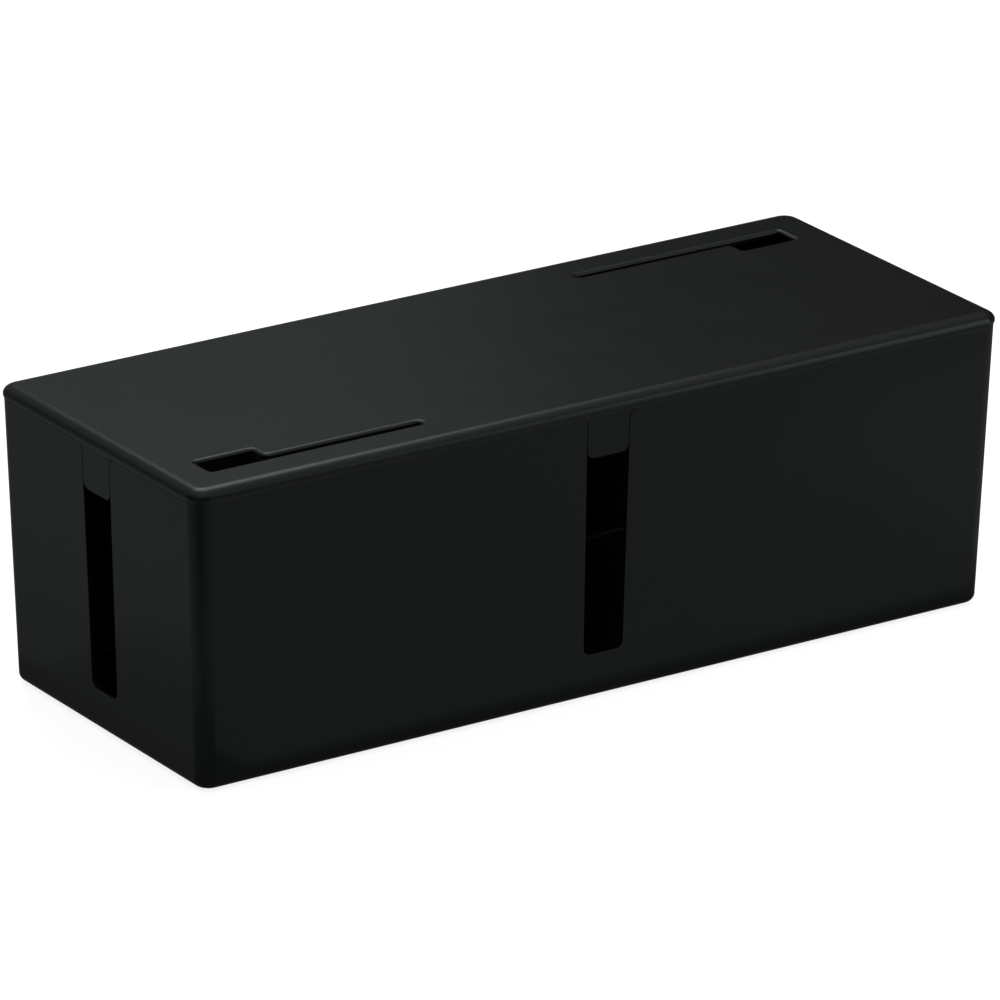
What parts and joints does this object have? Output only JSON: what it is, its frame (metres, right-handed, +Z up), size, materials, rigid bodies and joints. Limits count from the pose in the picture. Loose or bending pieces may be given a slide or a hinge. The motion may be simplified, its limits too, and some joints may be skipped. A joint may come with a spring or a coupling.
{
  "type": "cable box",
  "caption": "Long tapered box for a power strip and surplus cable, with tall slots in its walls and a lift-off lid whose tongues close them and whose top has keyhole openings.",
  "frame": {"origin": "centre of the box at the level that the feet stand on", "axes": "+X along the box, +Y across it towards the rear wall, +Z up"},
  "size_m": [0.4, 0.155, 0.132],
  "materials": {
    "tub_plastic": "fine moulded grain, satin black",
    "lid_plastic": "fine moulded grain, satin black",
    "foot_rubber": "matte"
  },
  "bodies": {
    "tub": {"tub": "tub_plastic", "foot_front_left": "foot_rubber", "foot_front_right": "foot_rubber", "foot_rear_left": "foot_rubber", "foot_rear_right": "foot_rubber"},
    "lid": {"lid": "lid_plastic"}
  },
  "joints": [
    {"name": "lid_lift", "type": "slide", "parent": "tub", "child": "lid", "axis": [0, 0, 1], "range_m": [0, 0.06]}
  ]
}
